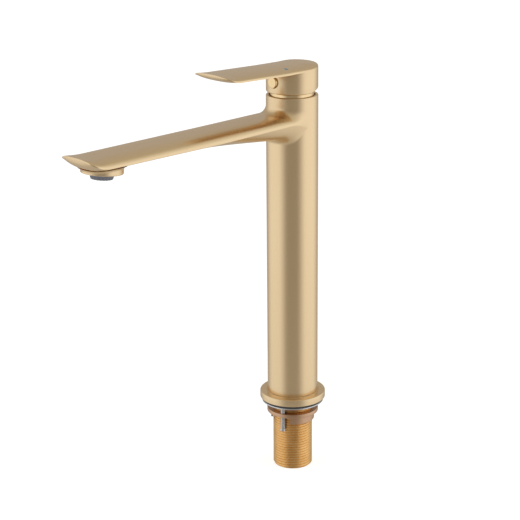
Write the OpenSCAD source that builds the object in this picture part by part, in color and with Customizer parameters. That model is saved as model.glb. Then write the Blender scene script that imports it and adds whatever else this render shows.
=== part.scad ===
// Tall single-lever mixer tap for a counter-top basin, in millimetres.
// Origin: centre of the base flange's underside, on the deck plane, +Z up.
// The spout and the lever point towards -Y, and the cold side is +X.

/* [Column] */
// Outer radius of the column
column_r = 21.2; // [21:0.1:22]
// Height of the column's rim above the deck
rim_z = 261.2; // [200:0.1:330]
// Outer radius of the base flange
flange_r = 27.6; // [27.2:0.1:32]
// Height of the base flange
flange_h = 6; // [5:0.1:8]

/* [Spout] */
// Reach from the column's axis to the spout's tip
spout_reach = 219.2; // [215:0.1:230]
// Distance from the column's axis to the outlet's axis
outlet_reach = 195.6; // [180:0.5:197]
// Forward tilt of the outlet, in degrees
outlet_tilt = 6; // [0:0.5:8]
// Outer radius of the collar around the outlet
collar_r = 15.9; // [14:0.1:16.5]

/* [Lever] */
// Length of the lever from the column's axis to its tip
lever_reach = 88; // [76:0.1:110]
// Half width of the lever at its tip
lever_w = 22.3; // [21.5:0.1:24]
// Radius of the lever's round skirt
skirt_r = 21.1; // [20.9:0.1:21.2]
// Largest lift of the lever, in degrees
max_lift = 17; // [10:1:17]
// Largest turn of the lever to each side, in degrees
max_turn = 45; // [20:1:50]

/* [Deck fixing] */
// Outer radius of the threaded shank, a 1 inch pipe thread
shank_r = 16.62; // [16:0.01:16.62]
// Length of the shank below the deck
shank_length = 61.7; // [55:0.1:80]
// Diameter of the two jack screws
jack_d = 4; // [3:0.5:4]

/* [Hidden] */
$fn = 96;
eps = 0.02;

gold = [0.80, 0.67, 0.42];
polished_gold = [0.90, 0.76, 0.46];
raw_brass = [0.76, 0.55, 0.30];
steel = [0.75, 0.76, 0.78];
black_rubber = [0.08, 0.08, 0.09];
white_plastic = [0.88, 0.87, 0.83];
grey_plastic = [0.27, 0.28, 0.31];
ceramic = [0.93, 0.92, 0.88];

// Heights that follow the rim
seat_z = rim_z - 29.2;
step_z = rim_z - 11.2;
pivot_z = rim_z - 3.2;
skirt_z = rim_z + 2.8;
chamber_r = 17.7;
nut_bore_r = 18.9;
hose_bore_r = 17.6;
socket_r = shank_r + 0.03;
socket_top = 28;
manifold_h = 20;
manifold_z = seat_z - manifold_h;

// Water way through the spout
way_r = 3;
way_z = rim_z - 19.7;

// ---------------------------------------------------------------- helpers

function lerp(a, b, k) = a + (b - a) * k;
function unit(k) = min(1, max(0, k));
// Height of a hollow fillet of radius r, at distance d from the wall
function fillet(d, r) = d >= r ? 0 : r - sqrt(r * r - pow(r - max(d, 0), 2));
// Steps from a to b that crowd together towards both ends
function crowded(a, b, count) =
    [for (i = [0:count]) a + (b - a) * (i / count - 0.85 * sin(360 * i / count) / 360 * 180 / PI)];

// A closed skin over rings of equal point counts
module loft(rings) {
    n = len(rings[0]);
    last = len(rings) - 1;
    points = [for (ring = rings) for (p = ring) p];
    sides = [
        for (i = [0:last - 1]) for (j = [0:n - 1])
            let (a = i * n + j, b = i * n + (j + 1) % n, c = b + n, d = a + n)
                for (face = [[a, b, c], [a, c, d]]) face
    ];
    start = [for (j = [n - 1:-1:0]) j];
    end = [for (j = [0:n - 1]) last * n + j];
    polyhedron(points, concat([start], sides, [end]), convexity = 6);
}

// A lathe-turned piece from an outline of [radius, height] points
module turned(outline) {
    rotate_extrude() polygon(outline);
}

// A flat ring from z to z + h
module washer(outer, inner, z, h) {
    translate([0, 0, z]) difference() {
        cylinder(r = outer, h = h);
        translate([0, 0, -1]) cylinder(r = inner, h = h + 2);
    }
}

// A wedge of the given half angle around direction a, for cutting sectors
module sector(a, half, reach, z, h) {
    translate([0, 0, z]) rotate([0, 0, a]) linear_extrude(h)
        polygon([[0, 0], [reach * cos(half), -reach * sin(half)], [reach * 1.5, 0],
                 [reach * cos(half), reach * sin(half)]]);
}

// A rubber ring of round section
module o_ring(r, section_r, z) {
    translate([0, 0, z]) rotate_extrude() translate([r, 0]) circle(r = section_r, $fn = 32);
}

// Places its children on the tilted outlet axis, z = 0 at the collar's lower face
outlet_z = rim_z - 29.35;
module at_outlet() {
    translate([0, -outlet_reach, outlet_z]) rotate([-outlet_tilt, 0, 0]) children();
}

// ---------------------------------------------------------------- column

module column() {
    color(gold) difference() {
        turned([
            [socket_r, flange_h], [column_r, flange_h], [column_r, rim_z - 0.8],
            [column_r - 0.8, rim_z], [nut_bore_r, rim_z], [nut_bore_r, step_z],
            [chamber_r, step_z], [chamber_r, seat_z - manifold_h - 3],
            [hose_bore_r, seat_z - manifold_h - 3], [hose_bore_r, socket_top],
            [socket_r, socket_top]
        ]);
        // outlet from the cartridge chamber into the spout
        translate([0, -chamber_r + 1, way_z]) rotate([90, 0, 0]) cylinder(r = way_r, h = 10);
        translate([0, -chamber_r + 0.3, seat_z + 1]) cylinder(r = 2.6, h = way_z + 2 - seat_z);
    }
}

module base_flange() {
    edge_r = 1;
    color(gold) rotate_extrude() difference() {
        union() {
            translate([16.9, 0]) square([flange_r - edge_r - 16.9, flange_h]);
            translate([16.9, 0]) square([flange_r - 16.9, flange_h - edge_r]);
            translate([flange_r - edge_r, flange_h - edge_r]) circle(r = edge_r);
        }
        // recess that holds the gasket
        translate([0, -1]) square([26.5, 2.2]);
    }
}

module flange_gasket() {
    color(black_rubber) washer(26.3, 17, -2.2, 3.4);
}

// ---------------------------------------------------------------- spout

spout_w = 21;
spout_edge_z = rim_z - 21.4;
spout_corner_r = 8;
belly = 3.6;
lift_length = 19.2;
front_length = 15.2;

function spout_half(s) =
    let (k = s - (spout_reach - spout_corner_r))
        k <= 0 ? spout_w : spout_w - spout_corner_r + sqrt(pow(spout_corner_r, 2) - k * k);
function root_k(s) = unit((110 - s) / 89);
// Share of the way from the start of a zone of the given length to the tip
function spout_tip(s, length) = unit(1 - (spout_reach - s) / length);
// Height that the side edge gains as it runs round the tip's corners
function spout_lift(s) = 5.4 * pow(spout_tip(s, lift_length), 2.7);
function spout_edge(s) = spout_edge_z + 1.6 * pow(unit((100 - s) / 80), 1.3) + spout_lift(s);
// Rise of the arched top over the side edge
function spout_rise(s) = 5.9 + 2.2 * unit((spout_reach - s) / 190) - (spout_edge(s) - spout_edge_z)
    + 1.2 * pow(spout_tip(s, lift_length), 2);
// Depth of the belly under the side edge
function spout_belly(s) =
    let (r = max(0, 110 - s)) belly + 0.128 * r * r / (r + 20) + spout_lift(s);
function spout_top(s, u) = spout_edge(s) + spout_rise(s) * sqrt(max(0, 1 - pow(abs(u), 3.2)));
// The underside: a belly that slants up into the tip's front face
function spout_under(s, u) =
    let (low = lerp(2.6, 5.5, root_k(s)), k = spout_tip(s, front_length))
        lerp(spout_edge(s) - spout_belly(s) * (1 - pow(abs(u), low)),
             spout_top(s, u) - 0.9 * (1 - pow(abs(u), 8)), 1 - sqrt(1 - k * k));

// One closed cross-section at distance s from the column's axis
function spout_ring(s, half_steps) =
    let (w = spout_half(s))
        concat(
            [for (i = [0:half_steps])
                let (u = -cos(180 * i / half_steps), d = norm([s, u * w]) - column_r)
                    [u * w, -s, spout_top(s, u) + fillet(d, 4) * (1 - pow(abs(u), 8))]],
            [for (i = [1:half_steps - 1])
                let (u = cos(180 * i / half_steps), d = norm([s, u * w]) - column_r)
                    [u * w, -s, spout_under(s, u) - fillet(d, 2.5) * (1 - pow(abs(u), 8))]]
        );

module spout() {
    collar_h = 8;
    bore_r = 10.8;
    bore_h = 8.6;
    color(gold) difference() {
        union() {
            loft([for (s = crowded(1, spout_reach, 34)) spout_ring(s, 20)]);
            at_outlet() turned([
                [0, 0], [collar_r - 0.8, 0], [collar_r, 0.8], [collar_r, collar_h], [0, collar_h]
            ]);
        }
        translate([0, 0, rim_z - 60]) cylinder(r = column_r, h = 70);
        translate([0, 0, way_z]) rotate([90, 0, 0]) cylinder(r = way_r, h = outlet_reach);
        at_outlet() translate([0, 0, -1]) cylinder(r = bore_r, h = bore_h + 1);
    }
}

// ---------------------------------------------------------------- aerator

module aerator_housing() {
    color(grey_plastic) at_outlet() turned([
        [6.4, -4.5], [8.1, -4.5], [8.5, -4.1], [9.4, 0.3], [10.7, 0.3], [10.7, 5.6],
        [7, 5.6], [7, -3.6], [6.4, -3.6]
    ]);
}

module aerator_mesh() {
    pitch = 2;
    color(steel) at_outlet() difference() {
        translate([0, 0, -3.55]) cylinder(r = 6.95, h = 0.9);
        for (i = [-3:3]) for (j = [-3:3]) {
            x = (i + j / 2) * pitch;
            y = j * pitch * 0.866;
            if (norm([x, y]) < 6) translate([x, y, -4]) cylinder(r = 0.75, h = 2, $fn = 24);
        }
    }
}

module aerator_insert() {
    color(white_plastic) at_outlet() difference() {
        turned([[0, -2], [6.95, -2], [6.95, 4.8], [6.2, 4.8], [6.2, 2.4], [0, 2.4]]);
        for (a = [0:45:315]) rotate([0, 0, a]) translate([4.4, 0, -3]) cylinder(r = 0.9, h = 7, $fn = 24);
    }
}

module aerator_gasket() {
    color(black_rubber) at_outlet() washer(10.6, 7.2, 5.65, 1.6);
}

// ---------------------------------------------------------------- deck fixing

relief_z = -28.8;
module threaded_shank() {
    bore_r = 14;
    relief_h = 0.8;
    color(raw_brass) turned([
        [bore_r, -shank_length], [shank_r - 0.8, -shank_length], [shank_r, -shank_length + 0.8],
        [shank_r, relief_z], [shank_r - 0.4, relief_z], [shank_r - 0.4, relief_z + relief_h],
        [shank_r, relief_z + relief_h], [shank_r, 26], [bore_r, 26]
    ]);
}

module steel_washer() {
    color(steel) washer(26, 17, -3.4, 1.15);
}

nut_top = -9.7;
nut_disc_h = 3.4;
nut_disc_r = 21.7;
nut_bore = shank_r + 0.06;
hub_r = 18.4;
hub_h = 6.9;
jack_pitch_r = 18.95;
jack_angle = -70.7;

module mounting_nut() {
    color(raw_brass) difference() {
        union() {
            washer(nut_disc_r, nut_bore, nut_top - nut_disc_h, nut_disc_h);
            // two lugs below the disc, for the socket of a deck-nut wrench
            difference() {
                washer(hub_r, nut_bore, nut_top - nut_disc_h - hub_h, hub_h + eps);
                for (side = [0, 180])
                    sector(-93 + side, 40, 30, nut_top - nut_disc_h - hub_h - 1, hub_h + 1);
            }
        }
        for (side = [0, 180]) rotate([0, 0, jack_angle + side])
            translate([jack_pitch_r, 0, nut_top - nut_disc_h - 1]) cylinder(r = jack_d / 2 + 0.05, h = 6);
    }
}

module jack_screws() {
    color(steel) for (side = [0, 180]) rotate([0, 0, jack_angle + side])
        translate([jack_pitch_r, 0, 0]) difference() {
            turned([
                [0, -26], [1.9, -26], [2.3, -25.6], [2.3, -24.2], [jack_d / 2 - 0.02, -23.6],
                [jack_d / 2 - 0.02, -4], [1.4, -3.45], [0, -3.45]
            ]);
            translate([-5, -0.4, -27]) cube([10, 0.8, 2.2]);
        }
}

// ---------------------------------------------------------------- water manifold

port_x = 7.5;
port_r = 4.5;
port_depth = 10;
module water_manifold() {
    color(raw_brass) difference() {
        turned([
            [0, manifold_z], [chamber_r - 0.05, manifold_z], [chamber_r - 0.05, manifold_z + 5.5],
            [chamber_r - 1.5, manifold_z + 5.5], [chamber_r - 1.5, manifold_z + 7.7],
            [chamber_r - 0.05, manifold_z + 7.7], [chamber_r - 0.05, manifold_z + 12.5],
            [chamber_r - 1.5, manifold_z + 12.5], [chamber_r - 1.5, manifold_z + 14.7],
            [chamber_r - 0.05, manifold_z + 14.7], [chamber_r - 0.05, seat_z], [0, seat_z]
        ]);
        for (x = [-port_x, port_x]) {
            translate([x, 0, manifold_z - 1]) cylinder(r = port_r, h = port_depth + 1);
            translate([x, 0, manifold_z]) cylinder(r = 3, h = manifold_h + 1);
            // holes for the cartridge's locating pegs
            translate([x, 11, seat_z - 3]) cylinder(r = 1.6, h = 4);
        }
    }
}

module manifold_seals() {
    color(black_rubber) for (z = [manifold_z + 6.6, manifold_z + 13.6])
        o_ring(chamber_r - 0.76, 0.7, z);
}

// ---------------------------------------------------------------- cartridge

base_z = seat_z + 0.3;
disc_z = seat_z + 5;
fixed_h = 3.2;
moving_z = disc_z + fixed_h + 0.03;
moving_h = 2.95;
carrier_z = moving_z + moving_h;
carrier_h = 4.9;
holder_z = carrier_z + carrier_h + 0.25;
housing_top = rim_z - 8.2;
housing_wall_z = housing_top - 2.3;
housing_r = 17.4;
cavity_r = 16.3;
ball_drop = 11.5;

module cartridge_base() {
    color(white_plastic) difference() {
        union() {
            translate([0, 0, base_z]) cylinder(r = housing_r, h = disc_z - base_z);
            for (x = [-port_x, port_x]) translate([x, 11, base_z - 2.8]) cylinder(r = 1.5, h = 4);
        }
        for (x = [-port_x, port_x]) {
            translate([x, 0, base_z - 1]) cylinder(r = 5.1, h = 1.9);
            translate([x, 0, base_z - 1]) cylinder(r = 3, h = 8);
        }
        // mixed-water outlet: down from the disc, then out to the front
        translate([0, -9, base_z + 1.5]) cylinder(r = 3, h = 8);
        translate([-3, -20, base_z + 1.5]) cube([6, 11, 2]);
    }
}

module cartridge_seals() {
    color(black_rubber) for (x = [-port_x, port_x]) translate([x, 0, 0]) washer(5, 3.4, seat_z, 1.15);
}

module ceramic_disc_fixed() {
    color(ceramic) difference() {
        translate([0, 0, disc_z]) cylinder(r = 14.5, h = fixed_h);
        for (x = [-port_x, port_x]) translate([x, 0, disc_z - 1]) cylinder(r = 2.6, h = 6);
        translate([0, -9, disc_z - 1]) cylinder(r = 2.6, h = 6);
    }
}

module ceramic_disc_moving() {
    color(ceramic) difference() {
        translate([0, 0, moving_z]) cylinder(r = 12, h = moving_h);
        // mixing pocket in the underside
        translate([0, -1, moving_z - 1]) cylinder(r = 5.5, h = 2.4);
    }
}

module disc_carrier() {
    color(white_plastic) difference() {
        translate([0, 0, carrier_z]) cylinder(r = 11.5, h = carrier_h);
        translate([0, 0, pivot_z - ball_drop - 2.6]) cylinder(r = 2.6, h = 10);
        translate([0, 0, pivot_z - ball_drop + 0.3]) cylinder(r = 3.4, h = 10);
    }
}

module cartridge_housing() {
    groove_z = disc_z + 8;
    color(white_plastic) turned([
        [cavity_r, disc_z], [housing_r, disc_z], [housing_r, groove_z], [housing_r - 0.7, groove_z],
        [housing_r - 0.7, groove_z + 1.8], [housing_r, groove_z + 1.8], [housing_r, housing_top],
        [11, housing_top], [11, housing_wall_z], [cavity_r, housing_wall_z]
    ]);
}

module cartridge_o_ring() {
    color(black_rubber) washer(chamber_r - 0.05, housing_r - 0.65, disc_z + 8.1, 1.6);
}

// Turns with the lever and carries the pin that the stem rocks on
neck_r = 10.8;
neck_top = rim_z + 0.8;
flange_top = housing_wall_z - 0.05;
module stem_holder() {
    color(white_plastic) difference() {
        union() {
            translate([0, 0, holder_z]) cylinder(r = 15.6, h = flange_top - holder_z);
            translate([0, 0, holder_z]) cylinder(r = neck_r, h = neck_top - holder_z);
            intersection() {
                translate([0, 0, housing_top + 0.3]) cylinder(r = 13.6, h = 1.4);
                sector(90, 10, 30, housing_top, 3);
            }
        }
        translate([-4.2, -7, holder_z - 1]) cube([8.4, 13.5, 20]);
        translate([-12, 0, pivot_z]) rotate([0, 90, 0]) cylinder(r = 1.52, h = 24, $fn = 48);
        washer(14.2, 12, flange_top - 1, 2);
    }
}

module stem_o_ring() {
    color(black_rubber) washer(14.1, 12.1, flange_top - 0.95, 0.93);
}

module pivot_pin() {
    color(steel) translate([-10.2, 0, pivot_z]) rotate([0, 90, 0]) cylinder(r = 1.5, h = 20.4, $fn = 48);
}

module stem() {
    square_z = pivot_z - 6;
    color(raw_brass) difference() {
        union() {
            translate([-4, -4, square_z]) cube([8, 8, rim_z + 13.6 - square_z]);
            translate([0, 0, pivot_z - ball_drop]) cylinder(r = 2, h = 7);
            translate([0, 0, pivot_z - ball_drop]) sphere(r = 2.5);
        }
        translate([-5, 0, pivot_z]) rotate([0, 90, 0]) cylinder(r = 1.55, h = 10, $fn = 48);
    }
}

// Lies round the neck and stops the holder's tab at the end of each turn
module stop_ring() {
    color(grey_plastic) difference() {
        washer(14.8, 11.1, housing_top + 0.03, 1.9);
        intersection() {
            translate([0, 0, housing_top - 1]) cylinder(r = 13.9, h = 5);
            union() for (a = [90 - max_turn / 2 - 3, 90 + max_turn / 2 + 3])
                sector(a, max_turn / 2 + 9, 30, housing_top - 1, 5);
        }
    }
}

module retaining_nut() {
    color(raw_brass) turned([
        [12.6, housing_top + 2.2], [15, housing_top + 2.2], [15, housing_top + 0.02],
        [nut_bore_r - 0.05, housing_top + 0.02], [nut_bore_r - 0.05, housing_top + 5.4],
        [12.6, housing_top + 5.4]
    ]);
}

dome_r = 18.2;
module dome_ring() {
    color(polished_gold) translate([0, 0, pivot_z]) rotate_extrude() intersection() {
        difference() {
            circle(r = dome_r);
            circle(r = dome_r - 1.3);
        }
        translate([0, 0.8]) square([dome_r + 1, 8.8]);
    }
}

// ---------------------------------------------------------------- lever

paddle_z = rim_z + 20.8;
crown_rear = 4;
paddle_corner_r = 8;
paddle_lip = 0.8;
paddle_front = 14;
rear_r = skirt_r + 0.15;
plug_z = rim_z + 12.1;

function paddle_half(s) =
    s < 0 ? sqrt(max(0.01, rear_r * rear_r - s * s)) :
    let (w = lerp(rear_r, lever_w, s / lever_reach), k = s - (lever_reach - paddle_corner_r))
        k <= 0 ? w : w - paddle_corner_r + sqrt(pow(paddle_corner_r, 2) - k * k);
function paddle_k(s) = unit((s - 26) / (lever_reach - 26));
function paddle_tip(s) = unit(1 - (lever_reach - s) / paddle_front);
// Height that the side edge gains as it runs round the tip's corners
function paddle_lift(s) = 3.4 * pow(paddle_tip(s), 2.5);
function paddle_edge(s) = paddle_z + 2.2 * pow(paddle_k(s), 0.9) + paddle_lift(s);
function paddle_crown(s) = paddle_z + crown_rear + 2.6 * unit((s + rear_r) / (lever_reach + rear_r))
    + 0.4 * pow(paddle_tip(s), 2);
function paddle_belly(s) = 0.4 + 1.2 * unit((s - 26) / 20) + paddle_lift(s);
// Height of the short upright lip along the edge
function lip(s) = paddle_lip * (1 - 0.7 * pow(paddle_tip(s), 2));
function paddle_top(s, u) =
    let (z = paddle_edge(s) + lip(s), round_off = sqrt(unit((s + rear_r) / 2.5)))
        z + (paddle_crown(s) - z) * (0.55 + 0.45 * round_off) * sqrt(max(0, 1 - pow(abs(u), 3)));
// The underside: a belly that slants up into the tip's front face
function paddle_under(s, u) =
    let (k = paddle_tip(s))
        lerp(paddle_edge(s) - paddle_belly(s) * (1 - pow(abs(u), 2.6)),
             paddle_top(s, u) - 1 + (1 - lip(s)) * pow(abs(u), 8), 1 - sqrt(1 - k * k));

// One closed cross-section of the paddle
function paddle_ring(s, half_steps) =
    let (w = paddle_half(s))
        concat(
            [for (i = [0:half_steps])
                let (u = -cos(180 * i / half_steps)) [u * w, -s, paddle_top(s, u)]],
            [for (i = [0:half_steps])
                let (u = cos(180 * i / half_steps)) [u * w, -s, paddle_under(s, u)]]
        );

// The lever itself, with a shallow seat for the skirt's neck in its underside
neck_seat_z = paddle_z + 1;
module handle() {
    color(gold) difference() {
        loft([for (s = crowded(-rear_r + 0.05, lever_reach, 26)) paddle_ring(s, 18)]);
        translate([0, 0, paddle_z - 5]) cylinder(r = skirt_r - 0.6, h = neck_seat_z - paddle_z + 5);
        for (side = [-1, 1]) translate([side * marker_x, -marker_s, paddle_z + 2.4])
            cylinder(r = marker_r + 0.03, h = 6, $fn = 48);
    }
}

module handle_skirt() {
    hollow_r = 18.6;
    boss_r = 7.5;
    boss_z = rim_z + 4.3;
    relief_angle = max_lift * 2 / 3;
    color(gold) difference() {
        union() {
            turned([
                [0, rim_z + 18], [hollow_r, rim_z + 18], [hollow_r, skirt_z], [skirt_r - 0.7, skirt_z],
                [skirt_r, skirt_z + 0.7], [skirt_r, paddle_z - 0.6],
                [skirt_r - 0.6, paddle_z - 0.6], [skirt_r - 0.6, neck_seat_z], [0, neck_seat_z]
            ]);
            translate([0, 0, boss_z]) cylinder(r = boss_r, h = paddle_z - boss_z);
            translate([0, -4.5, plug_z]) rotate([90, 0, 0]) cylinder(r = 4.6, h = 15);
        }
        // square socket for the stem
        translate([-4.05, -4.05, boss_z - 1]) cube([8.1, 8.1, rim_z + 14.8 - boss_z]);
        // set-screw thread, plug hole and the plug's counterbore
        translate([0, 0, plug_z]) rotate([90, 0, 0]) cylinder(r = 2.5, h = 24);
        translate([0, -15.2, plug_z]) rotate([90, 0, 0]) cylinder(r = 3.6, h = 10);
        translate([0, -20.2, plug_z]) rotate([90, 0, 0]) cylinder(r = 4.85, h = 4);
        // the skirt's rear edge is cut upwards, so that it clears the rim as the lever lifts
        translate([-30, 0, skirt_z - 20]) rotate([relief_angle, 0, 0])
            cube([60, 40, 20 * cos(relief_angle)]);
    }
}

marker_x = 14.5;
marker_s = 21.4;
marker_r = 2.1;
module marker(side) {
    translate([side * marker_x, -marker_s, paddle_z + 2.4]) cylinder(r = marker_r, h = 2, $fn = 48);
}
module cold_marker() {
    color([0.10, 0.42, 0.62]) marker(1);
}
module hot_marker() {
    color([0.72, 0.12, 0.10]) marker(-1);
}

module handle_plug() {
    color(polished_gold) translate([0, 0, plug_z]) rotate([90, 0, 0]) turned([
        [0, 15.6], [3.5, 15.6], [3.5, 20.25], [4.75, 20.25], [4.75, 22.2], [4.2, 22.8], [0, 22.8]
    ]);
}

module set_screw() {
    color(steel) translate([0, -4.08, plug_z]) rotate([90, 0, 0]) difference() {
        cylinder(r = 2.45, h = 8);
        translate([0, 0, 5]) cylinder(r = 1.4, h = 4, $fn = 6);
    }
}

column();
spout();
base_flange();
flange_gasket();
threaded_shank();
steel_washer();
mounting_nut();
jack_screws();
water_manifold();
manifold_seals();
cartridge_base();
cartridge_seals();
cartridge_housing();
cartridge_o_ring();
ceramic_disc_fixed();
ceramic_disc_moving();
disc_carrier();
stem_holder();
stem_o_ring();
pivot_pin();
stem();
stop_ring();
retaining_nut();
dome_ring();
handle();
handle_skirt();
handle_plug();
set_screw();
cold_marker();
hot_marker();
aerator_housing();
aerator_insert();
aerator_mesh();
aerator_gasket();
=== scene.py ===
"""Looks of a tall single-lever mixer tap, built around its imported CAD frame.

Shapes below are written in millimetres in the CAD frame and become metres when a mesh is made.
The spout and the lever point towards -Y; s is a distance along them and t a distance across.
"""

import math

import bmesh
import bpy
from mathutils import Matrix, Vector


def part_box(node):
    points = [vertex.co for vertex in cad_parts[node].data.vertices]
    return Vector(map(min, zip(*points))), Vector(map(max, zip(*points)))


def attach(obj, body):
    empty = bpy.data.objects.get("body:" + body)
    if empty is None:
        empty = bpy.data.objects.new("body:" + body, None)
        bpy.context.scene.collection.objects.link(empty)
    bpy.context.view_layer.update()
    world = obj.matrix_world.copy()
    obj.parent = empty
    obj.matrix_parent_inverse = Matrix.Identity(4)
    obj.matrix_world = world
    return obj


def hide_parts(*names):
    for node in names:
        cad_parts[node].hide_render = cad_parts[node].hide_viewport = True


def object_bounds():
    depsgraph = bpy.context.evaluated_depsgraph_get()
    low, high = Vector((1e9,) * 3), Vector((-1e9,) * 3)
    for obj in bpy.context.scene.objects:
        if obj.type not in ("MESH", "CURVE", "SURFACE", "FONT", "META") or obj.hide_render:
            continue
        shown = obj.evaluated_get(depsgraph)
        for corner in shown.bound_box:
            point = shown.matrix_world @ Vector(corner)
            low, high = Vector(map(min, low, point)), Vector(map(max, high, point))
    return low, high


MM = 0.001
# Points closer than this are joined, and faces thinner than this are dissolved, in mm
WELD = 0.0008
SLIVER = 0.0005

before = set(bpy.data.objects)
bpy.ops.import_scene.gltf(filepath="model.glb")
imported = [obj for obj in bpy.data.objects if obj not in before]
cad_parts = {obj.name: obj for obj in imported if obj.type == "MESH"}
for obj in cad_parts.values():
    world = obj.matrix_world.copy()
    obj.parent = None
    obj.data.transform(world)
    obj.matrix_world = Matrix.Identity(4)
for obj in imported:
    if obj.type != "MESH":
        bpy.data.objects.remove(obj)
cad_low, cad_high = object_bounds()


# ------------------------------------------------------------------ values from the frame


def box_mm(node):
    low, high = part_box(node)
    return low / MM, high / MM


column_low, column_high = box_mm("column")
flange_low, flange_high = box_mm("base_flange")
spout_low, spout_high = box_mm("spout")
handle_low, handle_high = box_mm("handle")
skirt_low, skirt_high = box_mm("handle_skirt")
shank_low, shank_high = box_mm("threaded_shank")
nut_low, nut_high = box_mm("mounting_nut")
cold_low, cold_high = box_mm("cold_marker")
dome_low, dome_high = box_mm("dome_ring")

COLUMN_R = column_high.x
RIM_Z = column_high.z
FLANGE_R = flange_high.x
FLANGE_H = flange_high.z
REACH = -spout_low.y
SHANK_R = shank_high.x
SHANK_END = shank_low.z
LEVER_REACH = -handle_low.y
LEVER_W = handle_high.x
SKIRT_Z = skirt_low.z
PIVOT_Z = RIM_Z - 3.2


# ------------------------------------------------------------------ mesh tools


def lerp(a, b, k):
    return a + (b - a) * k


def unit(k):
    return min(1.0, max(0.0, k))


def smooth(k):
    k = unit(k)
    return k * k * (3 - 2 * k)


def crowd(count, power=0.85):
    """Steps from 0 to 1 that crowd together towards both ends."""
    return [
        i / count - power * math.sin(2 * math.pi * i / count) / (2 * math.pi)
        for i in range(count + 1)
    ]


def rounded(corners, closed, steps=5):
    """An outline whose corners (x, y, cut) are rounded off, starting the given cut away."""
    points = []
    count = len(corners)
    for i, corner in enumerate(corners):
        here = Vector(corner[:2])
        cut = corner[2] if len(corner) > 2 else 0
        if cut == 0 or (not closed and i in (0, count - 1)):
            points.append(here)
            continue
        before = Vector(corners[i - 1][:2]) - here
        after = Vector(corners[(i + 1) % count][:2]) - here
        start = here + before.normalized() * cut
        end = here + after.normalized() * cut
        for k in range(steps + 1):
            f = k / steps
            points.append(start * (1 - f) ** 2 + here * 2 * f * (1 - f) + end * f * f)
    return points


def skin(rings, wrap=False, caps=False, strips=False):
    """Faces between rings of equal point counts, each ring closed on itself.

    The ends are closed by one flat face each, or by strips between the two halves of a ring.
    """
    n = len(rings[0])
    rows = len(rings)
    verts = [p for ring in rings for p in ring]
    faces = []
    for i in range(rows if wrap else rows - 1):
        k = (i + 1) % rows
        for j in range(n):
            m = (j + 1) % n
            faces.append((i * n + j, i * n + m, k * n + m, k * n + j))
    if caps:
        faces.append(tuple(reversed(range(n))))
        faces.append(tuple((rows - 1) * n + j for j in range(n)))
    if strips:
        last = (rows - 1) * n
        for j in range(n // 2 - 1):
            faces.append((n - 1 - j, n - 2 - j, j + 1, j))
            faces.append((last + j, last + j + 1, last + n - 2 - j, last + n - 1 - j))
    return verts, faces


def ring_of(r, z, turns, place=Matrix.Identity(4)):
    """Points of a circle of radius r at height z."""
    angles = [2 * math.pi * j / turns for j in range(turns)]
    return [place @ Vector((r * math.cos(a), r * math.sin(a), z)) for a in angles]


def turned(corners, closed=True, turns=160, place=Matrix.Identity(4), steps=5):
    """A lathe-turned shell from an outline of (radius, height, cut) corners."""
    rings = []
    for p in rounded(corners, closed, steps):
        rings.append(ring_of(p.x, p.y, turns, place))
    return skin(rings, wrap=closed)


def new_object(name, shells, dissolve):
    """An object with no material, joined from shells in millimetres."""
    bm = bmesh.new()
    for verts, faces in shells:
        points = [bm.verts.new(Vector(v) * MM) for v in verts]
        for face in faces:
            bm.faces.new([points[i] for i in face])
    bmesh.ops.remove_doubles(bm, verts=bm.verts, dist=WELD * MM)
    if dissolve:
        bmesh.ops.dissolve_degenerate(bm, edges=bm.edges, dist=SLIVER * MM)
    bmesh.ops.recalc_face_normals(bm, faces=bm.faces)
    mesh = bpy.data.meshes.new(name)
    bm.to_mesh(mesh)
    bm.free()
    obj = bpy.data.objects.new(name, mesh)
    bpy.context.scene.collection.objects.link(obj)
    return obj


def build(name, shells, body, slot, nodes, sharp=32):
    """One piece from shells in millimetres, which rides on a body and stands for CAD nodes."""
    piece = new_object(name, shells, True)
    piece.data.shade_smooth()
    piece.data.set_sharp_from_angle(angle=math.radians(sharp))
    piece.data.materials.append(MATERIALS[slot])
    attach(piece, body)
    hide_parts(*nodes)


def carved(shell, cutters):
    """The shell that is left when the cutters are taken out of it."""
    kept = new_object("kept", [shell], False)
    cutter = new_object("cutter", cutters, False)
    modifier = kept.modifiers.new("cut", "BOOLEAN")
    modifier.operation = "DIFFERENCE"
    modifier.solver = "EXACT"
    modifier.object = cutter
    graph = bpy.context.evaluated_depsgraph_get()
    mesh = kept.evaluated_get(graph).to_mesh()
    verts = [v.co / MM for v in mesh.vertices]
    faces = [tuple(f.vertices) for f in mesh.polygons]
    for obj in (kept, cutter):
        bpy.data.objects.remove(obj)
    return verts, faces


def block(size, place):
    """A box of the given size, centred at the origin of place."""
    x, y, z = (v / 2 for v in size)
    rings = [
        [place @ Vector((sx * x, sy * y, h)) for sx, sy in ((-1, -1), (1, -1), (1, 1), (-1, 1))]
        for h in (-z, z)
    ]
    return skin(rings, caps=True)


# ------------------------------------------------------------------ materials

MATERIALS = {}


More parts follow.
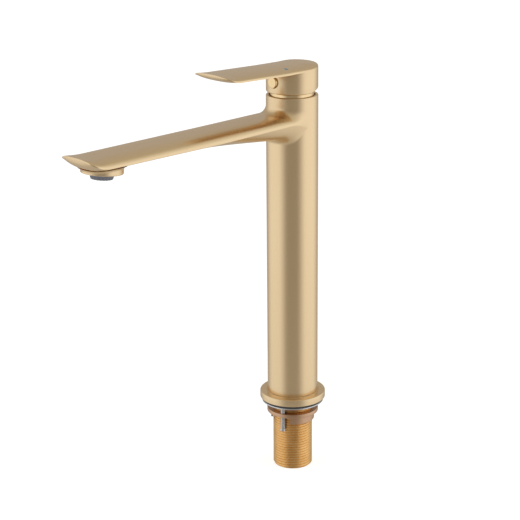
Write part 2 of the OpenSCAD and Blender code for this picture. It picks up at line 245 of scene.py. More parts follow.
class Nodes:
    """Short names for building a node tree."""

    def __init__(self, tree):
        self.tree = tree
        tree.nodes.clear()

    def add(self, kind, **settings):
        node = self.tree.nodes.new(kind)
        for key, value in settings.items():
            setattr(node, key, value)
        return node

    def link(self, a, b):
        self.tree.links.new(a, b)

    def math(self, operation, a, b):
        node = self.add("ShaderNodeMath", operation=operation)
        for i, value in enumerate((a, b)):
            if isinstance(value, (int, float)):
                node.inputs[i].default_value = value
            else:
                self.link(value, node.inputs[i])
        return node.outputs[0]

    def noise(self, vector, scale, detail=3.0, stretch=(1, 1, 1)):
        mapping = self.add("ShaderNodeMapping")
        mapping.inputs["Scale"].default_value = stretch
        self.link(vector, mapping.inputs["Vector"])
        node = self.add("ShaderNodeTexNoise")
        node.inputs["Scale"].default_value = scale
        node.inputs["Detail"].default_value = detail
        node.inputs["Roughness"].default_value = 0.55
        self.link(mapping.outputs[0], node.inputs["Vector"])
        return node.outputs["Fac"]

    def spread(self, value, low, high, start=0.3, end=0.7):
        node = self.add("ShaderNodeMapRange")
        node.inputs["From Min"].default_value = start
        node.inputs["From Max"].default_value = end
        node.inputs["To Min"].default_value = low
        node.inputs["To Max"].default_value = high
        self.link(value, node.inputs["Value"])
        return node.outputs["Result"]

    def mix(self, fac, a, b):
        node = self.add("ShaderNodeMix", data_type="RGBA")
        self.link(fac, node.inputs["Factor"])
        node.inputs["A"].default_value = (*a, 1)
        node.inputs["B"].default_value = (*b, 1)
        return node.outputs["Result"]

    def bump(self, height, distance):
        node = self.add("ShaderNodeBump")
        node.inputs["Distance"].default_value = distance
        node.inputs["Strength"].default_value = 1.0
        self.link(height, node.inputs["Height"])
        return node.outputs["Normal"]


def surface(name, light, dark, rough, metallic=1.0, grain=900, stretch=(1, 1, 1), depth=0.00001,
            cloud=25, coat=0.0, sheen=0.0):
    """A procedural finish: fine grain in colour, roughness and relief, over slow cloudy variation.

    Grain and cloud are the scales of the two noises, rough is a range and depth is in metres.
    """
    material = bpy.data.materials.new(name)
    material.use_nodes = True
    n = Nodes(material.node_tree)
    out = n.add("ShaderNodeOutputMaterial")
    shader = n.add("ShaderNodeBsdfPrincipled")
    n.link(shader.outputs[0], out.inputs["Surface"])
    place = n.add("ShaderNodeTexCoord").outputs["Object"]
    fine = n.noise(place, grain, stretch=stretch)
    slow = n.noise(place, cloud, detail=2.0)
    blend = n.math("ADD", n.math("MULTIPLY", fine, 0.45), n.math("MULTIPLY", slow, 0.55))
    n.link(n.mix(n.spread(blend, 0, 1, 0.38, 0.62), dark, light), shader.inputs["Base Color"])
    n.link(n.spread(blend, rough[0], rough[1]), shader.inputs["Roughness"])
    n.link(n.bump(fine, depth), shader.inputs["Normal"])
    shader.inputs["Metallic"].default_value = metallic
    shader.inputs["Coat Weight"].default_value = coat
    shader.inputs["Sheen Weight"].default_value = sheen
    MATERIALS[name] = material


surface("brushed_gold", (0.80, 0.60, 0.355), (0.785, 0.585, 0.34), (0.255, 0.275), metallic=0.93,
        grain=7000, stretch=(1, 1, 0.15), depth=0.0000003, cloud=14)
surface("polished_gold", (0.86, 0.64, 0.36), (0.82, 0.60, 0.32), (0.06, 0.11), grain=4000,
        depth=0.0000003, cloud=30)
surface("raw_brass", (0.92, 0.62, 0.29), (0.80, 0.50, 0.20), (0.22, 0.32), grain=1500,
        depth=0.0000015, cloud=60)
surface("cast_copper", (0.66, 0.42, 0.27), (0.56, 0.34, 0.20), (0.28, 0.40), grain=1200,
        depth=0.000004, cloud=90)
surface("steel", (0.72, 0.71, 0.69), (0.55, 0.54, 0.53), (0.18, 0.32), grain=1300, depth=0.000006)
surface("black_rubber", (0.030, 0.030, 0.032), (0.016, 0.016, 0.018), (0.55, 0.75), metallic=0.0,
        grain=1400, depth=0.00002, sheen=0.15)
surface("white_plastic", (0.80, 0.79, 0.75), (0.74, 0.73, 0.69), (0.32, 0.45), metallic=0.0,
        grain=900, depth=0.000006)
surface("grey_plastic", (0.15, 0.155, 0.185), (0.11, 0.115, 0.14), (0.30, 0.45), metallic=0.0,
        grain=1100, depth=0.00001)
surface("ceramic", (0.84, 0.83, 0.79), (0.80, 0.79, 0.75), (0.12, 0.20), metallic=0.0, grain=800,
        depth=0.000002, coat=0.4)
surface("blue_enamel", (0.030, 0.19, 0.30), (0.022, 0.15, 0.25), (0.15, 0.25), metallic=0.0,
        grain=800, depth=0.000003, coat=0.6)
surface("red_enamel", (0.45, 0.030, 0.022), (0.36, 0.022, 0.018), (0.15, 0.25), metallic=0.0,
        grain=800, depth=0.000003, coat=0.6)


# ------------------------------------------------------------------ column and flange

COLUMN_FOOT_R = 16.7
COLUMN_FOOT_H = 40
COLUMN_BORE_R = 17.7
RIM_BORE_R = 18.9
STEP_Z = RIM_Z - 11.2
FLANGE_BORE_R = 16.95
RECESS_R = 26.5
RECESS_TOP = 1.2

build(
    "column_tube",
    [turned([
        (COLUMN_FOOT_R, FLANGE_H, 0), (COLUMN_R - 0.1, FLANGE_H, 0.3), (COLUMN_R, FLANGE_H + 0.6, 0.3),
        (COLUMN_R, RIM_Z, 0.9), (RIM_BORE_R, RIM_Z, 0.5), (RIM_BORE_R, STEP_Z, 0),
        (COLUMN_BORE_R, STEP_Z, 0), (COLUMN_BORE_R, FLANGE_H + COLUMN_FOOT_H, 0),
        (COLUMN_FOOT_R, FLANGE_H + COLUMN_FOOT_H, 0),
    ])],
    "tap_body", "brushed_gold", ["column"],
)

build(
    "deck_flange",
    [turned([
        (FLANGE_BORE_R, FLANGE_H, 0), (COLUMN_R + 0.1, FLANGE_H, 0), (COLUMN_R + 0.5, FLANGE_H - 0.35, 0.2),
        (COLUMN_R + 0.9, FLANGE_H, 0.2), (FLANGE_R, FLANGE_H, 1.1), (FLANGE_R, 0, 0.4),
        (RECESS_R, 0, 0.1), (RECESS_R, RECESS_TOP, 0), (FLANGE_BORE_R, RECESS_TOP, 0),
    ])],
    "tap_body", "brushed_gold", ["base_flange"],
)


# ------------------------------------------------------------------ spout

SPOUT_W = 21
SPOUT_EDGE_Z = RIM_Z - 21.4
SPOUT_CORNER_R = 8
BELLY = 3.6
LIFT_LENGTH = 19.2
FRONT_LENGTH = 15.2
FRONT_LIP = 0.9
OUTLET_REACH = 195.6
OUTLET_Z = RIM_Z - 29.35
OUTLET_TILT = math.radians(6)
COLLAR_R = 15.9
COLLAR_BORE_R = 10.8
COLLAR_FILLET = 2.6
EDGE_H = 0.25
# How far the side edge is lifted round the tip, and raised towards the root
TIP_LIFT = 5.4
TIP_LIFT_POWER = 2.7
ROOT_RAISE = 1.6
ROOT_RAISE_START = 100
ROOT_RAISE_LENGTH = 80
ROOT_RAISE_POWER = 1.3
# Height of the arched top over the edge, and the power that shapes its arch
CROWN = 5.9
CROWN_GAIN = 2.2
CROWN_LENGTH = 190
CROWN_TIP = 1.2
ARCH_POWER = 3.2
# The belly deepens from here to the root, and its section grows squarer
BELLY_START = 110
BELLY_SLOPE = 0.128
BELLY_EASE = 20
BELLY_LENGTH = 89
BELLY_POWER = 2.6
BELLY_ROOT_POWER = 5.5
LIP_POWER = 8
# Distance from the column over which sections wrap round it, and then straighten
WRAP_LENGTH = 8
WRAP_FADE = 40
TOP_FILLET = 6.0
UNDER_FILLET = 9.0
UNDER_SHARE = 0.55
# A distance from the column's wall at which its fillets are over
FAR = 99


def fillet(d, r):
    """Height of a hollow fillet of radius r at distance d from the wall."""
    return 0.0 if d >= r else r - math.sqrt(max(0.0, r * r - (r - max(d, 0.0)) ** 2))


def spout_half(s):
    k = s - (REACH - SPOUT_CORNER_R)
    if k <= 0:
        return SPOUT_W
    return SPOUT_W - SPOUT_CORNER_R + math.sqrt(max(0.0, SPOUT_CORNER_R ** 2 - k * k))


def spout_tip(s, length):
    """Share of the way from the start of a zone of the given length to the tip."""
    return unit(1 - (REACH - s) / length)


def spout_lift(s):
    """Height that the side edge gains as it runs round the tip's corners."""
    return TIP_LIFT * spout_tip(s, LIFT_LENGTH) ** TIP_LIFT_POWER


def spout_edge(s):
    towards_root = unit((ROOT_RAISE_START - s) / ROOT_RAISE_LENGTH)
    return SPOUT_EDGE_Z + ROOT_RAISE * towards_root ** ROOT_RAISE_POWER + spout_lift(s)


def spout_rise(s):
    gain = CROWN_GAIN * unit((REACH - s) / CROWN_LENGTH)
    crown = CROWN + gain + CROWN_TIP * spout_tip(s, LIFT_LENGTH) ** 2
    return crown - (spout_edge(s) - SPOUT_EDGE_Z)


def spout_belly(s):
    r = max(0.0, BELLY_START - s)
    return BELLY + BELLY_SLOPE * r * r / (r + BELLY_EASE) + spout_lift(s)


def spout_top(s, u, d):
    rise = spout_rise(s) * math.sqrt(max(0.0, 1 - abs(u) ** ARCH_POWER))
    return spout_edge(s) + rise + fillet(d, TOP_FILLET)


def spout_under(s, u, d):
    """The underside: a belly that slants up into the tip's front face."""
    power = lerp(BELLY_POWER, BELLY_ROOT_POWER, unit((BELLY_START - s) / BELLY_LENGTH))
    belly = spout_edge(s) - EDGE_H - spout_belly(s) * (1 - abs(u) ** power)
    lip = lerp(FRONT_LIP, EDGE_H, abs(u) ** LIP_POWER)
    front = spout_top(s, u, FAR) - lip
    k = spout_tip(s, FRONT_LENGTH)
    return lerp(belly, front, 1 - math.sqrt(1 - k * k)) - UNDER_SHARE * fillet(d, UNDER_FILLET)


def spout_ring(reach, half_steps):
    """A closed cross-section that follows the column's wall near it and is straight further out."""
    d = reach - COLUMN_R
    half = spout_half(reach)
    straight = smooth((d - WRAP_LENGTH) / WRAP_FADE)
    ring = []
    for height, way in ((spout_top, -1), (spout_under, 1)):
        for i in range(half_steps + 1):
            u = way * math.cos(math.pi * i / half_steps)
            t = u * half
            arc = math.sqrt(max(0.0, reach * reach - t * t))
            s = lerp(arc, reach, straight)
            gap = math.hypot(s, t) - COLUMN_R
            ring.append(Vector((t, -s, height(s, u, gap))))
    return ring


def spout_shell():
    half_steps = 56
    rings = [spout_ring(COLUMN_R - 0.3, half_steps)]
    for k in (0.0, 0.04, 0.1, 0.2, 0.35, 0.55, 0.8, 1.1, 1.5, 2.0, 2.6, 3.3, 4.1, 5.0):
        rings.append(spout_ring(COLUMN_R + k, half_steps))
    first = COLUMN_R + 6.5
    for k in crowd(110, 0.75):
        rings.append(spout_ring(lerp(first, REACH, k), half_steps))
    return skin(rings, strips=True)


AT_OUTLET = Matrix.Translation((0, -OUTLET_REACH, OUTLET_Z)) @ Matrix.Rotation(-OUTLET_TILT, 4, "X")


def collar_join(a):
    """Height on the collar's wall at which the spout's underside is met."""
    low, high = 0.0, 9.0
    for _ in range(30):
        h = (low + high) / 2
        p = AT_OUTLET @ Vector((COLLAR_R * math.cos(a), COLLAR_R * math.sin(a), h))
        s = min(-p.y, REACH - 0.01)
        under = spout_under(s, min(1.0, abs(p.x) / spout_half(s)), FAR)
        if p.z < under:
            low = h
        else:
            high = h
    return (low + high) / 2


def collar_shell():
    """The round collar under the tip: bore, lip, wall, and a small fillet up to the spout."""
    turns = 160
    joins = [collar_join(2 * math.pi * j / turns) for j in range(turns)]
    base = rounded([
        (COLLAR_BORE_R, 6, 0), (COLLAR_BORE_R, 0, 0.35), (COLLAR_R, 0, 0.7), (COLLAR_R, 1.2, 0),
    ], False)
    rings = [[(p.x, p.y)] * turns for p in base]
    steps = 8
    for k in range(steps + 1):
        left = COLLAR_FILLET * (1 - k / steps)
        r = COLLAR_R + fillet(left, COLLAR_FILLET) * 0.9
        rings.append([(r, max(1.3, join - left)) for join in joins])
    rings.append([(COLLAR_R - 2, join + 0.8) for join in joins])
    placed = []
    for ring in rings:
        row = []
        for j, (r, h) in enumerate(ring):
            a = 2 * math.pi * j / turns
            row.append(AT_OUTLET @ Vector((r * math.cos(a), r * math.sin(a), h)))
        placed.append(row)
    return skin(placed, wrap=True)


build("spout_arm", [spout_shell(), collar_shell()], "tap_body", "brushed_gold", ["spout"], sharp=50)


# ------------------------------------------------------------------ aerator


def aerator_shell():
    """The outlet's holder, with shallow slots round its rim for a key."""
    slots = 20
    turns = slots * 12
    outline = rounded([
        (6.4, -3.6, 0), (6.4, -4.5, 0.25), (8.2, -4.5, 0.4), (8.6, -3.4, 0.3), (9.4, 0.2, 0.2),
        (10.7, 0.3, 0.1), (10.7, 5.6, 0), (7, 5.6, 0), (7, -3.6, 0),
    ], True)
    rings = []
    for p in outline:
        depth = 0.35 * smooth((-0.2 - p.y) / 0.5) * smooth((p.x - 7.0) / 0.4)
        ring = []
        for j in range(turns):
            a = 2 * math.pi * j / turns
            wave = smooth((math.cos(slots * a) - 0.15) / 0.4)
            r = p.x - depth * wave
            ring.append(AT_OUTLET @ Vector((r * math.cos(a), r * math.sin(a), p.y)))
        rings.append(ring)
    return skin(rings, wrap=True)


build("outlet_holder", [aerator_shell()], "tap_body", "grey_plastic", ["aerator_housing"])


# ------------------------------------------------------------------ deck fixing

THREAD_PITCH = 2.309
THREAD_DEPTH = 1.3
SHANK_BORE_R = 14.0
SHANK_TOP = 5
DECK_RING_BORE_R = 17
GASKET_R = 26.3
GASKET_LOW, GASKET_HIGH = -2.2, 1.1
WASHER_R = 26
WASHER_LOW, WASHER_HIGH = -3.4, -2.25


def threaded(crest_r, depth, pitch, bottom, top, turns, per_turn, chamfer, place=Matrix.Identity(4)):
    """A screw thread's outer wall as rings from bottom to top, fading into both chamfers."""
    rings = []
    rows = int((top - bottom) / pitch * per_turn)
    for i in range(rows + 1):
        z = lerp(bottom, top, i / rows)
        limit = crest_r - max(0.0, chamfer - (z - bottom)) - max(0.0, chamfer - (top - z))
        ring = []
        for j in range(turns):
            a = 2 * math.pi * j / turns
            phase = (z / pitch - j / turns) % 1.0
            wave = smooth(unit(abs(phase - 0.5) * 2 * 1.35 - 0.15))
            r = min(limit, crest_r - depth * wave)
            ring.append(place @ Vector((r * math.cos(a), r * math.sin(a), z)))
        rings.append(ring)
    return rings


def shank_shell():
    turns = 144
    outer = threaded(SHANK_R, THREAD_DEPTH, THREAD_PITCH, SHANK_END, -3.0, turns, 12, 1.0)
    inside = ((SHANK_R, SHANK_TOP), (SHANK_BORE_R, SHANK_TOP), (SHANK_BORE_R, SHANK_END + 0.6),
              (SHANK_BORE_R + 0.5, SHANK_END))
    return skin(outer + [ring_of(r, z, turns) for r, z in inside], wrap=True)


build("shank_tube", [shank_shell()], "tap_body", "raw_brass", ["threaded_shank"], sharp=60)

build(
    "deck_gasket",
    [turned([
        (DECK_RING_BORE_R, GASKET_LOW, 0.3), (GASKET_R, GASKET_LOW, 0.5),
        (GASKET_R, GASKET_HIGH, 0.2), (DECK_RING_BORE_R, GASKET_HIGH, 0),
    ])],
    "tap_body", "black_rubber", ["flange_gasket"],
)

build(
    "deck_washer_ring",
    [turned([
        (DECK_RING_BORE_R, WASHER_LOW, 0.15), (WASHER_R, WASHER_LOW, 0.35),
        (WASHER_R, WASHER_HIGH, 0.35), (DECK_RING_BORE_R, WASHER_HIGH, 0.15),
    ])],
    "deck_washer", "steel", ["steel_washer"],
)

NUT_TOP = nut_high.z
NUT_DISC_H = 3.4
NUT_DISC_R = nut_high.x
NUT_BORE = SHANK_R + 0.05
HUB_R = 18.4
LUG_END = nut_low.z
JACK_PITCH_R = 18.95
JACK_HOLE_R = 2.08
LUG_MIDDLES = (-3, 177)
LUG_HALF_ANGLE = 49
SCREW_R = 1.98
SCREW_THREAD_DEPTH = 0.3
SCREW_PITCH = 0.7
SCREW_THREAD_LOW, SCREW_THREAD_HIGH = -23.6, -4.6
SCREW_END = -26
SLOT_SIZE = (8, 0.8, 2.4)
JACK_ANGLES = (math.radians(-70.7), math.radians(109.3))


def lug_shell(middle, half):
    """One of the nut's lugs: a bent bar under its disc."""
    steps = 40
    outline = rounded([
        (NUT_BORE, LUG_END, 0.4), (HUB_R, LUG_END, 0.5), (HUB_R, NUT_TOP - NUT_DISC_H + 0.5, 0),
        (NUT_BORE, NUT_TOP - NUT_DISC_H + 0.5, 0),
    ], True)
    rings = []
    for i in range(steps + 1):
        a = math.radians(middle + lerp(-half, half, i / steps))
        rings.append([Vector((p.x * math.cos(a), p.x * math.sin(a), p.y)) for p in outline])
    return skin(rings, caps=True)


def at_jack(a):
    return Matrix.Translation((JACK_PITCH_R * math.cos(a), JACK_PITCH_R * math.sin(a), 0))


def nut_shells():
    """The nut's disc with its two screw holes, and the lugs under it."""
    disc = turned([
        (NUT_BORE, NUT_TOP - NUT_DISC_H, 0.4), (NUT_DISC_R, NUT_TOP - NUT_DISC_H, 0.6),
        (NUT_DISC_R, NUT_TOP, 0.6), (NUT_BORE, NUT_TOP, 0.4),
    ])
    holes = [
        turned([(0, NUT_TOP - 8), (JACK_HOLE_R, NUT_TOP - 8), (JACK_HOLE_R, NUT_TOP + 3),
                (0, NUT_TOP + 3)], closed=False, turns=48, place=at_jack(a))
        for a in JACK_ANGLES
    ]
    lugs = [lug_shell(middle, LUG_HALF_ANGLE) for middle in LUG_MIDDLES]
    return [carved(disc, holes)] + lugs


build("deck_nut_body", nut_shells(), "deck_nut", "cast_copper", ["mounting_nut"])


def screw_shell(a):
    """A jack screw with a cone point at its top and a flared end below."""
    place = at_jack(a)
    turns = 40
    thread = threaded(SCREW_R, SCREW_THREAD_DEPTH, SCREW_PITCH, SCREW_THREAD_LOW,
                      SCREW_THREAD_HIGH, turns, 10, 0.2, place)
    flare = ((0.0, SCREW_END), (1.7, SCREW_END), (2.15, -25.8), (2.3, -25.4), (2.3, -24.4), (2.1, -23.9),
             (1.7, -23.65))
    point = ((1.55, -4.4), (1.4, -3.5), (1.2, -3.45), (0.0, -3.45))
    below = [ring_of(r, z, turns, place) for r, z in flare]
    above = [ring_of(r, z, turns, place) for r, z in point]
    return skin(below + thread + above)


def slot_block(a):
    return block(SLOT_SIZE, at_jack(a) @ Matrix.Translation((0, 0, SCREW_END)))


build("slotted_screws", [carved(screw_shell(a), [slot_block(a)]) for a in JACK_ANGLES],
      "jacks", "steel", ["jack_screws"], sharp=60)


# ------------------------------------------------------------------ dome ring

DOME_R = 18.2
DOME_WALL = 1.3


def dome_shell():
    """A zone of a hollow ball, centred on the lever's pivot."""
    steps = 24
    low = math.asin((dome_low.z - PIVOT_Z) / DOME_R)
    high = math.asin((dome_high.z - PIVOT_Z) / DOME_R)
    rings = []
    for r, start, end in ((DOME_R, low, high), (DOME_R - DOME_WALL, high, low)):
        for i in range(steps + 1):
            e = lerp(start, end, i / steps)
            rings.append(ring_of(r * math.cos(e), PIVOT_Z + r * math.sin(e), 160))
    return skin(rings, wrap=True)


build("dome_cover", [dome_shell()], "tap_body", "polished_gold", ["dome_ring"])


# ------------------------------------------------------------------ lever

PADDLE_Z = RIM_Z + 20.8
CROWN_REAR = 4.0
PADDLE_CORNER_R = 8.0
PADDLE_FRONT = 14.0
SKIRT_R = 21.1
SKIRT_BORE_R = 18.6
LIP_H = 0.8
LIP_THINNING = 0.7
PADDLE_FRONT_LIP = 1.0
# The side edge rises from here towards the tip, and lifts round its corners
PADDLE_EDGE_START = 26
PADDLE_EDGE_RISE = 2.2
PADDLE_EDGE_POWER = 0.9
PADDLE_LIFT = 3.4
PADDLE_LIFT_POWER = 2.5
PADDLE_CROWN_RISE = 2.6
PADDLE_CROWN_TIP = 0.4
PADDLE_ARCH_POWER = 2.1
PADDLE_BELLY_POWER = 2.6
PADDLE_BELLY_REAR = 0.4
PADDLE_BELLY_GAIN = 1.2
PADDLE_BELLY_LENGTH = 20
# The round rear keeps this share of the crown's height at its rim, and is squarer by this power
REAR_SHARE = 0.55
REAR_POWER = 11
PLUG_Z = RIM_Z + 12.1
RELIEF_SLOPE = 0.2
PLUG_R = 4.75
PLUG_HOLE_R = 4.95
PLUG_FACE = 22.8
DOT_X = (cold_low.x + cold_high.x) / 2
DOT_Y = (cold_low.y + cold_high.y) / 2
DOT_R = cold_high.x - DOT_X
DOT_PROUD = 0.08
DOT_DEPTH = 1.4


def paddle_tip(s):
    return unit(1 - (LEVER_REACH - s) / PADDLE_FRONT)


def paddle_lift(s):
    return PADDLE_LIFT * paddle_tip(s) ** PADDLE_LIFT_POWER


def paddle_edge(s):
    """Height of the side edge, which rises towards the tip and round its corners."""
    k = unit((s - PADDLE_EDGE_START) / (LEVER_REACH - PADDLE_EDGE_START))
    return PADDLE_Z + PADDLE_EDGE_RISE * k ** PADDLE_EDGE_POWER + paddle_lift(s)


def paddle_crown(s):
    slope = PADDLE_CROWN_RISE * unit((s + SKIRT_R) / (LEVER_REACH + SKIRT_R))
    return PADDLE_Z + CROWN_REAR + slope + PADDLE_CROWN_TIP * paddle_tip(s) ** 2


def paddle_belly(s):
    gain = PADDLE_BELLY_GAIN * unit((s - PADDLE_EDGE_START) / PADDLE_BELLY_LENGTH)
    return PADDLE_BELLY_REAR + gain + paddle_lift(s)


def lip_h(s):
    return LIP_H * (1 - LIP_THINNING * paddle_tip(s) ** 2)


def paddle_top(s, t):
    """Height of the arched top at distance s along the lever and t across it."""
    edge = paddle_edge(s) + lip_h(s)
    if s >= 0:
        u = min(1.0, abs(t) / paddle_half(s))
        return edge + (paddle_crown(s) - edge) * math.sqrt(max(0.0, 1 - u ** PADDLE_ARCH_POWER))
    k = min(1.0, math.hypot(s, t) / SKIRT_R)
    outer = s / max(k, 1e-6)
    rear = unit(-outer / SKIRT_R) ** 2
    low = edge + (paddle_crown(outer) - edge) * REAR_SHARE * rear
    power = PADDLE_ARCH_POWER + REAR_POWER * rear
    return low + (paddle_crown(s) - low) * math.sqrt(max(0.0, 1 - k ** power))


def paddle_under(s, t):
    """The underside: a shallow belly that slants up into the tip's front face."""
    u = min(1.0, abs(t) / paddle_half(s))
    k = paddle_tip(s)
    belly = paddle_edge(s) - paddle_belly(s) * (1 - u ** PADDLE_BELLY_POWER)
    front = paddle_top(s, t) - lerp(PADDLE_FRONT_LIP, lip_h(s), u ** LIP_POWER)
    return lerp(belly, front, 1 - math.sqrt(1 - k * k))


def paddle_half(s):
    """Half width of the lever's outline at distance s."""
    if s < 0:
        return math.sqrt(max(0.01, SKIRT_R ** 2 - s * s))
    w = lerp(SKIRT_R, LEVER_W, s / LEVER_REACH)
    k = s - (LEVER_REACH - PADDLE_CORNER_R)
    if k <= 0:
        return w
    return w - PADDLE_CORNER_R + math.sqrt(max(0.0, PADDLE_CORNER_R ** 2 - k * k))


def paddle_shell():
    """The lever, skinned over straight cross-sections from its round rear to its tip."""
    half_steps = 48
    reaches = [-SKIRT_R * math.cos(math.pi / 2 * i / 40) for i in range(40)]
    reaches[0] = -SKIRT_R + 0.002
    reaches += [LEVER_REACH * k for k in crowd(90, 0.7)]
    rings = []
    for s in reaches:
        half = paddle_half(s)
        ring = []
        for height, way in ((paddle_top, -1), (paddle_under, 1)):
            for i in range(half_steps + 1):
                t = way * math.cos(math.pi * i / half_steps) * half
                ring.append(Vector((t, -s, height(s, t))))
        rings.append(ring)
    return skin(rings, strips=True)


def skirt_shell():
    """The round skirt under the paddle, with its rear edge cut upwards."""
    turns = 192
    wall_top = PADDLE_Z + 0.35
    outline = rounded([
        (SKIRT_BORE_R, wall_top, 0), (SKIRT_BORE_R, SKIRT_Z, 0.3), (SKIRT_R, SKIRT_Z, 0.8),
        (SKIRT_R, PADDLE_Z, 0), (SKIRT_R - 0.03, PADDLE_Z + 0.05, 0), (SKIRT_R - 0.03, wall_top, 0),
    ], True)
    rings = []
    for p in outline:
        ring = []
        for j in range(turns):
            a = 2 * math.pi * j / turns
            lift = RELIEF_SLOPE * max(0.0, SKIRT_R * math.sin(a))
            share = unit((PADDLE_Z - p.y) / (PADDLE_Z - SKIRT_Z))
            ring.append(Vector((p.x * math.cos(a), p.x * math.sin(a), p.y + lift * share)))
        rings.append(ring)
    return skin(rings, wrap=True)


AT_PLUG = Matrix.Translation((0, 0, PLUG_Z)) @ Matrix.Rotation(math.pi / 2, 4, "X")

plug_hole = turned([(0, 17), (PLUG_HOLE_R, 17), (PLUG_HOLE_R, 25), (0, 25)], closed=False, turns=64,
                   place=AT_PLUG)
build("lever_body", [paddle_shell(), carved(skirt_shell(), [plug_hole])], "lever", "brushed_gold",
      ["handle", "handle_skirt"], sharp=50)

build(
    "lever_plug",
    [turned([(0, 16), (PLUG_R, 16, 0), (PLUG_R, PLUG_FACE, 0.9), (0, PLUG_FACE)], closed=False,
            turns=72, place=AT_PLUG)],
    "lever", "polished_gold", ["handle_plug"],
)


def dot_shell(x, y):
    """A shallow enamel dot that lies on the lever's arched top."""
    slope = (paddle_top(-y, x + 1) - paddle_top(-y, x - 1)) / 2
    tilt = Matrix.Rotation(-math.atan(slope), 4, "Y")
    place = Matrix.Translation((x, y, paddle_top(-y, x) + DOT_PROUD)) @ tilt
    return turned([(0, -DOT_DEPTH), (DOT_R, -DOT_DEPTH, 0), (DOT_R, -0.1, 0.2), (0, 0.0)],
                  closed=False, turns=48, place=place)


build("cold_dot", [dot_shell(DOT_X, DOT_Y)], "lever", "blue_enamel", ["cold_marker"])
build("hot_dot", [dot_shell(-DOT_X, DOT_Y)], "lever", "red_enamel", ["hot_marker"])


# ------------------------------------------------------------------ CAD nodes that stay

KEPT = {
    "raw_brass": ["water_manifold", "retaining_nut", "stem"],
    "black_rubber": ["manifold_seals", "cartridge_seals", "cartridge_o_ring", "stem_o_ring",
                     "aerator_gasket"],
    "white_plastic": ["cartridge_base", "cartridge_housing", "disc_carrier", "stem_holder",
                      "aerator_insert"],
    "ceramic": ["ceramic_disc_fixed", "ceramic_disc_moving"],
    "steel": ["pivot_pin", "set_screw", "aerator_mesh"],
    "grey_plastic": ["stop_ring"],
}
for slot, names in KEPT.items():
    for name in names:
        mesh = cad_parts[name].data
        mesh.materials.clear()
        mesh.materials.append(MATERIALS[slot])


# ------------------------------------------------------------------ camera

# The camera's place in metres, and its angles in radians: bearing, then yaw, pitch and roll from it
CAMERA_AT = Vector((0.8771, -0.8771, 0.5166))
CAMERA_BEARING = math.radians(45)
CAMERA_YAW = -0.0216878
CAMERA_PITCH = 0.308764
CAMERA_ROLL = -0.00838761
CAMERA_LENS = 108.43

camera = bpy.data.objects.new("camera", bpy.data.cameras.new("camera"))
bpy.context.scene.collection.objects.link(camera)
camera.data.sensor_width = 36
camera.data.lens = CAMERA_LENS
camera.data.clip_start = 0.05
camera.data.clip_end = 60


def camera_matrix():
    ahead = Vector((math.sin(CAMERA_YAW) * math.cos(CAMERA_PITCH),
                    math.cos(CAMERA_YAW) * math.cos(CAMERA_PITCH), -math.sin(CAMERA_PITCH)))
    right = Vector((math.cos(CAMERA_YAW), -math.sin(CAMERA_YAW), 0))
    up = right.cross(ahead)
    across = right * math.cos(CAMERA_ROLL) + up * math.sin(CAMERA_ROLL)
    upright = up * math.cos(CAMERA_ROLL) - right * math.sin(CAMERA_ROLL)
    turn = Matrix.Rotation(CAMERA_BEARING, 4, "Z")
    axes = Matrix((across, upright, -ahead)).transposed().to_4x4()
    return Matrix.Translation(CAMERA_AT) @ turn @ axes


camera.matrix_world = camera_matrix()
bpy.context.scene.camera = camera


# ------------------------------------------------------------------ studio

TO_CAMERA = Vector((1, -1, 0)).normalized()
TO_RIGHT = Vector((1, 1, 0)).normalized()

# Two large soft boxes stand left and right of the camera in a dimmer room. Bearings are in
# degrees from the camera's side, to the right.
LEFT_BOX = -84
RIGHT_BOX = 84
BOX_HALF_ANGLE = 21
BOX_FADE = 44
LEFT_LEVEL = 1.02
RIGHT_LEVEL = 1.06
FRONT_LEVEL = 0.32
BACK_LEVEL = 0.48
BOX_COLOUR = (1.0, 1.03, 1.08)
ROOM_COLOUR = (1.0, 0.95, 0.90)
# Straight up the light fades into the ceiling, and straight down into the dim ground.
CEILING = (0.55, 0.53, 0.46)
CEILING_FROM, CEILING_TO = 0.35, 1.0
GROUND = (0.50, 0.49, 0.47)
GROUND_FROM, GROUND_TO = -0.25, -0.95
# A ramp's colours stop at 1, so levels are kept as shares of this one
BRIGHTEST = 1.4


def box_stops(bearing, level, before, after):
    """Stops of one soft box: full over its width, fading into the room on both sides."""
    outer = BOX_HALF_ANGLE + BOX_FADE
    return [(bearing - outer, before, ROOM_COLOUR), (bearing - BOX_HALF_ANGLE, level, BOX_COLOUR),
            (bearing + BOX_HALF_ANGLE, level, BOX_COLOUR), (bearing + outer, after, ROOM_COLOUR)]


def dimmed(colour, level):
    """A light's colour at a level, as a share of the brightest light."""
    return (*[channel * level / BRIGHTEST for channel in colour], 1)


def bearing_ramp(n, bearing):
    """The light round the horizon: both soft boxes and the room between them."""
    ramp = n.add("ShaderNodeValToRGB")
    n.link(bearing, ramp.inputs["Fac"])
    ramp.color_ramp.interpolation = "EASE"
    elements = ramp.color_ramp.elements
    while len(elements) > 1:
        elements.remove(elements[-1])
    stops = (box_stops(LEFT_BOX, LEFT_LEVEL, BACK_LEVEL, FRONT_LEVEL)
             + box_stops(RIGHT_BOX, RIGHT_LEVEL, FRONT_LEVEL, BACK_LEVEL))
    for i, (degrees, level, colour) in enumerate(stops):
        position = degrees / 360 + 0.5
        element = elements[0] if i == 0 else elements.new(position)
        element.position = position
        element.color = dimmed(colour, level)
    return ramp.outputs["Color"]


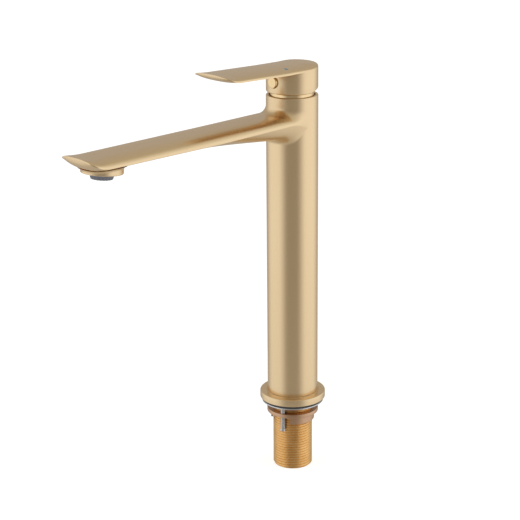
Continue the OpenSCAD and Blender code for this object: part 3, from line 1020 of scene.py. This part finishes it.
def studio_world():
    """Soft light from the left and the right, dimmer in front, behind, above and below."""
    world = bpy.data.worlds.new("studio")
    world.use_nodes = True
    bpy.context.scene.world = world
    n = Nodes(world.node_tree)
    out = n.add("ShaderNodeOutputWorld")
    sky = n.add("ShaderNodeBackground")
    n.link(sky.outputs[0], out.inputs["Surface"])
    direction = n.add("ShaderNodeTexCoord").outputs["Generated"]
    parts = n.add("ShaderNodeSeparateXYZ")
    n.link(direction, parts.inputs[0])
    x, y, z = parts.outputs
    across = n.math("ADD", n.math("MULTIPLY", x, TO_RIGHT.x), n.math("MULTIPLY", y, TO_RIGHT.y))
    towards = n.math("ADD", n.math("MULTIPLY", x, TO_CAMERA.x), n.math("MULTIPLY", y, TO_CAMERA.y))
    angle = n.math("ARCTAN2", across, towards)
    bearing = n.math("ADD", n.math("DIVIDE", angle, 2 * math.pi), 0.5)
    light = bearing_ramp(n, bearing)
    fades = ((CEILING, CEILING_FROM, CEILING_TO), (GROUND, GROUND_FROM, GROUND_TO))
    for colour, start, end in fades:
        fade = n.add("ShaderNodeMix", data_type="RGBA")
        n.link(n.spread(z, 0, 1, start, end), fade.inputs["Factor"])
        n.link(light, fade.inputs["A"])
        fade.inputs["B"].default_value = dimmed(colour, 1)
        light = fade.outputs["Result"]
    n.link(light, sky.inputs["Color"])
    sky.inputs["Strength"].default_value = BRIGHTEST


studio_world()


def stage_mesh(name, verts, faces, material):
    mesh = bpy.data.meshes.new(name)
    mesh.from_pydata(verts, [], faces)
    mesh.materials.append(material)
    obj = bpy.data.objects.new(name, mesh)
    bpy.context.scene.collection.objects.link(obj)
    return obj


def pale(name, emission, colour):
    material = bpy.data.materials.new(name)
    material.use_nodes = True
    n = Nodes(material.node_tree)
    out = n.add("ShaderNodeOutputMaterial")
    shader = n.add("ShaderNodeBsdfPrincipled")
    n.link(shader.outputs[0], out.inputs["Surface"])
    shader.inputs["Base Color"].default_value = (colour, colour, colour, 1)
    shader.inputs["Roughness"].default_value = 0.9
    shader.inputs["Specular IOR Level"].default_value = 0.0
    shader.inputs["Emission Color"].default_value = (1, 1, 1, 1)
    shader.inputs["Emission Strength"].default_value = emission
    return material


FLOOR_HALF = 15
FLOOR_GREY = 0.6
FLOOR_GLOW = 0.73
BACKDROP_GLOW = 1.05
floor_z = cad_low.z
floor = stage_mesh(
    "floor",
    [(-FLOOR_HALF, -FLOOR_HALF, floor_z), (FLOOR_HALF, -FLOOR_HALF, floor_z),
     (FLOOR_HALF, FLOOR_HALF, floor_z), (-FLOOR_HALF, FLOOR_HALF, floor_z)],
    [(0, 1, 2, 3)], pale("pale_floor", FLOOR_GLOW, FLOOR_GREY),
)
# The brushed metal reflects the soft boxes' own ground instead of the glowing floor
floor.visible_glossy = False

ball = bmesh.new()
bmesh.ops.create_uvsphere(ball, u_segments=48, v_segments=24, radius=FLOOR_HALF * 0.98)
ball_points = [v.co.copy() for v in ball.verts]
ball_faces = [[v.index for v in f.verts] for f in ball.faces]
ball.free()
backdrop = stage_mesh("backdrop", ball_points, ball_faces, pale("pale_backdrop", BACKDROP_GLOW, 0.0))
# The backdrop is seen by the camera only, so it neither lights the part nor shows in it
for part in ("diffuse", "glossy", "transmission", "volume_scatter", "shadow"):
    setattr(backdrop, "visible_" + part, False)

bpy.context.scene.view_settings.view_transform = "Standard"
